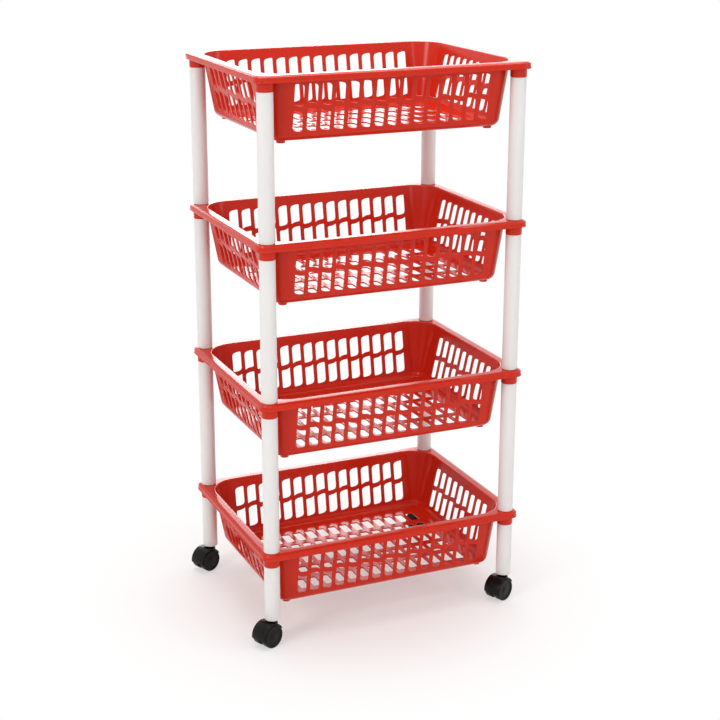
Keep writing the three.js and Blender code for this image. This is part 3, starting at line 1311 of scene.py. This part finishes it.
@dataclass
class Castor:
    """One twin-wheel castor with its socket.

    Its shapes are built round its swivel axis with the wheels trailing along X, or round its
    axle, whose middle is the origin, with Z along it; both are then moved to its place.

    Args:
        corner: The corner of the trolley that it stands under.
        wheel_radius: Radius of the wheels.
        wheel_width: Width of one wheel.
        wheel_bore: Radius of a wheel's bore.
        bore_depth: Depth of the bore from the wheel's inner side.
        dish_depth: How far the ring round a wheel's cap is sunk below its rim.
        spacing: Distance between the two wheels.
        hood_inner: Inner radius of the hood.
        hood_outer: Outer radius of the hood.
        hood_width: Width of the hood.
        hood_back: Where the hood starts, in degrees up from the level behind the axle.
        hood_front: Where it ends, counted the same way, over the top and down in front.
        web_start: Radius at which the web between the wheels starts.
        web_gap: Gap between the web and each wheel.
        hub_radius: Radius of the web's hub round the axle.
        neck_radius: Radius of the swivel neck at its top.
        neck_flare: Its radius at its foot.
        neck_gap: Gap between the neck and the socket.
        stem_radius: Radius of the steel stem.
        axle_radius: Radius of the steel axle.
        axle_reach: How far the axle reaches into each wheel.
        socket_radius: Outer radius of the socket.
        socket_bore: Radius of its bore.
    """

    corner: str
    wheel_radius: float = 18 * MM
    wheel_width: float = 10.5 * MM
    wheel_bore: float = 2.56 * MM
    bore_depth: float = 7.8 * MM
    dish_depth: float = 1.4 * MM
    spacing: float = 8 * MM
    hood_inner: float = 18.8 * MM
    hood_outer: float = 20.5 * MM
    hood_width: float = 28.4 * MM
    hood_back: float = -8
    hood_front: float = 152
    web_start: float = 0.6 * MM
    web_gap: float = 0.6 * MM
    hub_radius: float = 8 * MM
    neck_radius: float = 7.5 * MM
    neck_flare: float = 9 * MM
    neck_gap: float = 0.3 * MM
    stem_radius: float = 4 * MM
    axle_radius: float = 2.5 * MM
    axle_reach: float = 7.5 * MM
    socket_radius: float = 9 * MM
    socket_bore: float = 4.1 * MM
    post: Vector = field(init=False)
    place: Matrix = field(init=False)
    trail: float = field(init=False)

    HOOD_STEPS = 28
    NECK_FACETS = 40
    WHEEL_FACETS = 64
    ROD_FACETS = 32
    SOCKET_FACETS = 48

    def __post_init__(self) -> None:
        """Reads the castor's place, trail and heading from the frame."""
        low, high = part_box(f"castor_socket_{self.corner}")
        axle_low, axle_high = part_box(f"castor_{self.corner}_axle")
        self.post = Vector(((low.x + high.x) / 2, (low.y + high.y) / 2, low.z))
        axle = (axle_low + axle_high) / 2 - self.post
        self.trail = axle.xy.length
        turn = Matrix.Rotation(math.atan2(axle.y, axle.x), 4, "Z")
        self.place = Matrix.Translation((self.post.x, self.post.y, 0)) @ turn

    @property
    def body(self) -> str:
        """The CAD body that the swivelling part is."""
        return f"castor_{self.corner}"

    def _at_axle(self) -> Matrix:
        """Returns the move that lays a shape turned about Z along the axle."""
        lift = Matrix.Translation((self.trail, 0, self.wheel_radius))
        return lift @ Matrix.Rotation(-QUARTER_TURN, 4, "X")

    def _swept(self, section: Sequence[Point]) -> BMesh:
        """Sweeps a section round the axle through the hood's arc.

        Args:
            section: Points of radius and distance along the axle.

        Returns:
            The swept shape, on the axle.
        """
        bm = bmesh.new()
        verts = [bm.verts.new((radius, 0, along)) for radius, along in section]
        start = bm.faces.new(verts)
        bmesh.ops.rotate(
            bm,
            verts=verts,
            cent=(0, 0, 0),
            matrix=Matrix.Rotation(-math.radians(self.hood_back), 3, "Z"),
        )
        bmesh.ops.spin(
            bm,
            geom=[start, *start.edges, *start.verts],
            cent=(0, 0, 0),
            axis=(0, 0, 1),
            dvec=(0, 0, 0),
            angle=-math.radians(self.hood_front - self.hood_back),
            steps=self.HOOD_STEPS,
            use_merge=False,
            use_duplicate=False,
        )
        tidy(bm)
        return moved(bm, self._at_axle())

    def _hood(self) -> BMesh:
        """Makes the castor's body: hood, web, hub and neck.

        Returns:
            The body, round the swivel axis.
        """
        half, web = self.hood_width / 2, self.spacing / 2 - self.web_gap
        plate = [
            (self.hood_inner, half, 0.6 * MM),
            (self.hood_outer, half, 1.2 * MM),
            (self.hood_outer, -half, 1.2 * MM),
            (self.hood_inner, -half, 0.6 * MM),
        ]
        hub = [
            (0, web, 0),
            (self.hub_radius, web, 0.4 * MM),
            (self.hub_radius, -web, 0.4 * MM),
            (0, -web, 0),
        ]
        start, end = self.web_start, (self.hood_inner + self.hood_outer) / 2
        bm = self._swept(rounded(plate, 3))
        absorb(bm, self._swept([(start, web), (end, web), (end, -web), (start, -web)]))
        core = turned(rounded(hub), self.NECK_FACETS, closed=False)
        absorb(bm, moved(core, self._at_axle()))
        absorb(bm, self._neck())
        return bm

    def _neck(self) -> BMesh:
        """Makes the swivel neck, whose foot follows the hood's sloping front.

        Returns:
            The neck, round the swivel axis.
        """
        top = self.post.z - self.neck_gap
        low = self.wheel_radius + 8 * MM
        profile = rounded(
            [
                (0, low, 0),
                (self.neck_flare, low, 0),
                (self.neck_radius, top - 4 * MM, 2 * MM),
                (self.neck_radius, top, 0.5 * MM),
                (0, top, 0),
            ]
        )
        bm = turned(profile, self.NECK_FACETS, closed=False)
        seat = self.hood_inner + 0.2 * MM
        for vert in bm.verts:
            across = vert.co.x - self.trail
            if abs(across) < seat:
                floor = self.wheel_radius + math.sqrt(seat * seat - across * across)
                vert.co.z = max(vert.co.z, floor)
        return bm

    def _wheel(self, side: int) -> BMesh:
        """Makes one wheel: a tread with a dished face and a raised cap.

        Args:
            side: 1 or -1, for the side of the web that it runs on.

        Returns:
            The wheel, on the axle.
        """
        radius, width = self.wheel_radius, self.wheel_width
        cap = width - 0.1 * MM
        profile = rounded(
            [
                (0, self.bore_depth, 0),
                (self.wheel_bore, self.bore_depth, 0),
                (self.wheel_bore, 0, 0.2 * MM),
                (radius, 0, 0.9 * MM),
                (radius, width, 1.1 * MM),
                (radius - 3.2 * MM, width, 0.4 * MM),
                (radius - 4.0 * MM, width - self.dish_depth, 0.4 * MM),
                (5.4 * MM, width - 0.9 * MM, 0.5 * MM),
                (4.8 * MM, cap, 0.5 * MM),
                (0, cap, 0),
            ],
            3,
        )
        bm = turned(profile, self.WHEEL_FACETS, closed=False)
        flip = Matrix.Rotation(math.pi if side < 0 else 0, 4, "X")
        return moved(bm, self._at_axle() @ flip @ Matrix.Translation((0, 0, self.spacing / 2)))

    def _rod(self, radius: float, low: float, high: float) -> BMesh:
        """Makes a steel rod along Z with chamfered ends.

        Args:
            radius: The rod's radius.
            low: The height of its lower end.
            high: The height of its upper end.

        Returns:
            The rod.
        """
        chamfer = 0.5 * MM
        corners = [(0, low, 0), (radius, low, chamfer), (radius, high, chamfer), (0, high, 0)]
        return turned(rounded(corners, 2), self.ROD_FACETS, closed=False)

    def _stem(self) -> BMesh:
        """Returns the stem, as high as its CAD node."""
        low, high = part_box(f"{self.body}_stem")
        return self._rod(self.stem_radius, low.z, high.z)

    def _axle(self) -> BMesh:
        """Returns the axle, through the hub and into both wheels."""
        half = self.spacing / 2 + self.axle_reach
        return moved(self._rod(self.axle_radius, -half, half), self._at_axle())

    def _socket(self) -> BMesh:
        """Makes the socket inside the post.

        Returns:
            The socket, in its place.
        """
        low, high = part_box(f"castor_socket_{self.corner}")
        profile = rounded(
            [
                (self.socket_radius, low.z, 0.4 * MM),
                (self.socket_radius, high.z, 0.6 * MM),
                (self.socket_bore, high.z, 0.3 * MM),
                (self.socket_bore, low.z, 0.3 * MM),
            ],
            3,
        )
        socket = turned(profile, self.SOCKET_FACETS)
        return moved(socket, Matrix.Translation((self.post.x, self.post.y, 0)))

    def build(
        self,
        black: bpy.types.Material,
        tread: bpy.types.Material,
        steel: bpy.types.Material,
    ) -> None:
        """Builds the castor's pieces in their places.

        Args:
            black: The finish of the hood and the socket.
            tread: The finish of the wheels.
            steel: The finish of the stem and the axle.
        """
        name, socket = self.body, f"castor_socket_{self.corner}"
        shell = Piece(f"{name}_shell", name, (f"{name}_hood",), "castor")
        shell.make(moved(self._hood(), self.place), black)
        pin = Piece(f"{name}_pin", name, (f"{name}_stem",), "steel")
        pin.make(moved(self._stem(), self.place), steel)
        shaft = Piece(f"{name}_shaft", name, (f"{name}_axle",), "steel")
        shaft.make(moved(self._axle(), self.place), steel)
        plug = Piece(f"{socket}_plug", "frame", (socket,), "castor")
        plug.make(self._socket(), black)
        for number, side in ((1, 1), (2, -1)):
            wheel = f"{name}_wheel_{number}"
            disc = Piece(f"{wheel}_disc", wheel, (wheel,), "wheel")
            disc.make(moved(self._wheel(side), self.place), tread)


# ---------------------------------------------------------------- stage


@dataclass(frozen=True)
class Camera:
    """The camera in front of the trolley's left corner.

    Args:
        place: Its place in front of the baskets' middle, in metres.
        yaw: Turn to the right of straight ahead, in degrees.
        pitch: Tilt down, in degrees.
        roll: Turn about its own axis, in degrees.
        lens: Focal length, in millimetres.
        shift_x: Shift of the lens to the right, as a share of the picture.
        shift_y: Shift of the lens upwards, as a share of the picture.
    """

    place: tuple[float, float, float] = (-0.9540, -2.1737, 1.1481)
    yaw: float = 23.919
    pitch: float = 16.757
    roll: float = 0.131
    lens: float = 78.16
    shift_x: float = 0.0
    shift_y: float = -0.04

    SENSOR = 36  # millimetres
    REACH = (0.05, 50)  # nearest and farthest distance that it sees, in metres

    def build(self, centre: Vector) -> None:
        """Makes the camera the scene's own.

        Args:
            centre: The middle of the baskets.
        """
        data = bpy.data.cameras.new("camera")
        data.lens = self.lens
        data.sensor_width = self.SENSOR
        data.shift_x = self.shift_x
        data.shift_y = self.shift_y
        data.clip_start, data.clip_end = self.REACH
        made = bpy.data.objects.new("camera", data)
        bpy.context.scene.collection.objects.link(made)
        turn = Matrix.Rotation(-math.radians(self.yaw), 4, "Z")
        tilt = Matrix.Rotation(QUARTER_TURN - math.radians(self.pitch), 4, "X")
        roll = Matrix.Rotation(math.radians(self.roll), 4, "Z")
        where = Vector(self.place) + Vector((centre.x, centre.y, 0))
        made.matrix_world = Matrix.Translation(where) @ turn @ tilt @ roll
        bpy.context.scene.camera = made


@dataclass(frozen=True)
class SoftBox:
    """A large soft lamp.

    Args:
        name: Its name.
        place: Where it hangs, in metres.
        size: Its width and height, in metres.
        power: Its power, in watts.
    """

    name: str
    place: tuple[float, float, float]
    size: tuple[float, float]
    power: float

    def build(self, target: Vector) -> None:
        """Hangs the lamp so that it faces the target.

        Args:
            target: The point that it faces.
        """
        data = bpy.data.lights.new(self.name, "AREA")
        data.shape = "RECTANGLE"
        data.size, data.size_y = self.size
        data.energy = self.power
        made = bpy.data.objects.new(self.name, data)
        made.visible_camera = False
        bpy.context.scene.collection.objects.link(made)
        where = Vector(self.place)
        turn = (target - where).to_track_quat("-Z", "Y").to_matrix().to_4x4()
        made.matrix_world = Matrix.Translation(where) @ turn


@dataclass(frozen=True)
class Studio:
    """White floor, white surroundings and soft lamps.

    Args:
        floor_half: Half the floor's side, in metres.
        floor_colour_with_painted_bounce: The floor's pale colour, tinted warm as painted red
            bounce light from the baskets.
        painted_glow_near: Share of painted white glow in the floor under the trolley, which
            lightens the shadow there. Beyond the fade it is 1.
        fade: Distances from the trolley's middle between which the painted glow turns the floor
            white and fades out its shadow, in metres.
        world_light: How much of the surroundings' white shines on the object.
        aim_height: Height of the point that the lamps face, in metres.
        lamps: The lamps.
    """

    floor_half: float = 40
    # pale, with a warm tint that is painted red bounce light from the baskets
    floor_colour_with_painted_bounce: Colour = (0.88, 0.83, 0.81)
    # painted glow: white emission that lightens the floor's shadow under the trolley
    painted_glow_near: float = 0.35
    fade: Point = (0.15, 0.48)
    world_light: float = 0.5
    aim_height: float = 0.45
    lamps: tuple[SoftBox, ...] = (
        SoftBox("key", (-2.95, -1.3, 1.9), (1.0, 1.5), 38),
        SoftBox("top", (0.1, 0.2, 2.8), (2.0, 2.0), 44),
        SoftBox("front", (0.0, -3.2, 1.7), (0.5, 1.8), 9),
        SoftBox("side", (2.4, -2.2, 1.4), (0.8, 1.8), 16),
        SoftBox("back_band", (1.54, 7.24, 2.72), (3.7, 1.28), 92),
        SoftBox("back_wide", (3.4, 7.9, 2.9), (9.0, 3.4), 40),
        SoftBox("back_low", (3.2, 7.4, 1.78), (7.0, 0.45), 20),
    )

    def _sees_white(self, tree: NodeTree) -> Signal:
        """Tells the rays that show the background from those that only carry light.

        Args:
            tree: The node tree to build in.

        Returns:
            1 for a ray that is seen, mirrored or let through, and 0 for any other.
        """
        path = "ShaderNodeLightPath"
        seen = tree.node(path, output="Is Camera Ray")
        mirrored = tree.node(path, output="Is Glossy Ray")
        through = tree.node(path, output="Is Transmission Ray")
        settings = {"operation": "ADD", "use_clamp": True}
        return tree.node("ShaderNodeMath", settings, {0: seen + mirrored, 1: through})

    def _floor(self) -> None:
        """Lays a pale floor that fades into the white surroundings and keeps the shadow,
        lightened by a painted glow under the trolley and cleared by it beyond the fade; its warm
        tint is painted red bounce light.
        """
        bm = bmesh.new()
        bmesh.ops.create_grid(bm, x_segments=1, y_segments=1, size=self.floor_half)
        mesh = bpy.data.meshes.new("floor")
        bm.to_mesh(mesh)
        bm.free()
        shading = Shading("pale_floor")
        place = shading.node("ShaderNodeTexCoord", output="Object")
        length = {"operation": "LENGTH"}
        reach = shading.node("ShaderNodeVectorMath", length, {0: place}, "Value")
        ends = {"Value": reach, "From Min": self.fade[0], "From Max": self.fade[1]}
        far = shading.node("ShaderNodeMapRange", {"interpolation_type": "SMOOTHSTEP"}, ends)
        # painted glow: white emission for seen rays, weaker under the trolley and full beyond the
        # fade, lightens and trims the shadow
        share = self._sees_white(shading) * between((self.painted_glow_near, 1), far)
        # the floor's diffuse colour carries the painted red bounce light
        pale = shading.node("ShaderNodeBsdfDiffuse", inputs={"Color": opaque(self.floor_colour_with_painted_bounce)})
        white = shading.node("ShaderNodeEmission", inputs={"Color": opaque((1, 1, 1))})
        mix = shading.node("ShaderNodeMixShader", inputs={0: share, 1: pale, 2: white})
        shading.node("ShaderNodeOutputMaterial", inputs={"Surface": mix})
        mesh.materials.append(shading.material)
        floor = bpy.data.objects.new("floor", mesh)
        bpy.context.scene.collection.objects.link(floor)

    def _world(self) -> None:
        """Surrounds the scene with white, softer as a light than as a background."""
        world = bpy.data.worlds.new("surroundings")
        tree = NodeTree(world)
        strength = between((self.world_light, 1), self._sees_white(tree))
        inputs = {"Color": opaque((1, 1, 1)), "Strength": strength}
        background = tree.node("ShaderNodeBackground", inputs=inputs)
        tree.node("ShaderNodeOutputWorld", inputs={"Surface": background})
        bpy.context.scene.world = world

    def build(self, centre: Vector) -> None:
        """Builds the floor, the surroundings and the lamps.

        Args:
            centre: The middle of the baskets, whose axis holds the point that the lamps face.
        """
        self._floor()
        self._world()
        for lamp in self.lamps:
            lamp.build(Vector((centre.x, centre.y, self.aim_height)))
        bpy.context.scene.view_settings.view_transform = "Standard"


# ---------------------------------------------------------------- the trolley


@dataclass
class Trolley:
    """The whole trolley, built on the CAD frame.

    Args:
        form: The sizes of its baskets.
        tube_gap: Gap between a tube's shoulder and the boss on it.
    """

    form: BasketForm = BasketForm()
    tube_gap: float = 0.3 * MM
    centre: Vector = field(init=False)
    posts: list[Vector] = field(init=False)

    def __post_init__(self) -> None:
        """Reads the baskets' middle and the posts' axes from the frame."""
        low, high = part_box("basket_1")
        self.centre = (low + high) / 2
        self.posts = []
        for corner in CORNERS:
            post_low, post_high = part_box(f"leg_tube_{corner}")
            middle = (post_low + post_high) / 2
            self.posts.append(Vector((middle.x, middle.y, 0)))

    def _shoulder(self, tier: int) -> float:
        """Returns the height of the tube shoulder that carries a tier."""
        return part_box(f"basket_{tier}")[1].z - self.form.boss_depth - self.tube_gap

    def build(self) -> None:
        """Builds every piece of the trolley."""
        red, white = RED.build(), WHITE.build()
        black, tread, steel = BLACK.build(), TREAD.build(), STEEL.build()
        for tier in TIERS:
            Basket(tier, self.form, self.posts).build(red)
            for corner in CORNERS:
                node = f"leg_tube_{corner}" if tier == 1 else f"post_tube_{tier}_{corner}"
                Tube(node, self._shoulder(tier)).build(white)
        for corner in CORNERS:
            Castor(corner).build(black, tread, steel)


def main() -> None:
    """Builds the camera, the trolley and its studio in order."""
    logging.basicConfig(level=logging.INFO, format="%(name)s: %(message)s")
    trolley = Trolley()
    Camera().build(trolley.centre)
    trolley.build()
    Studio().build(trolley.centre)


if __name__ == "__main__":
    main()
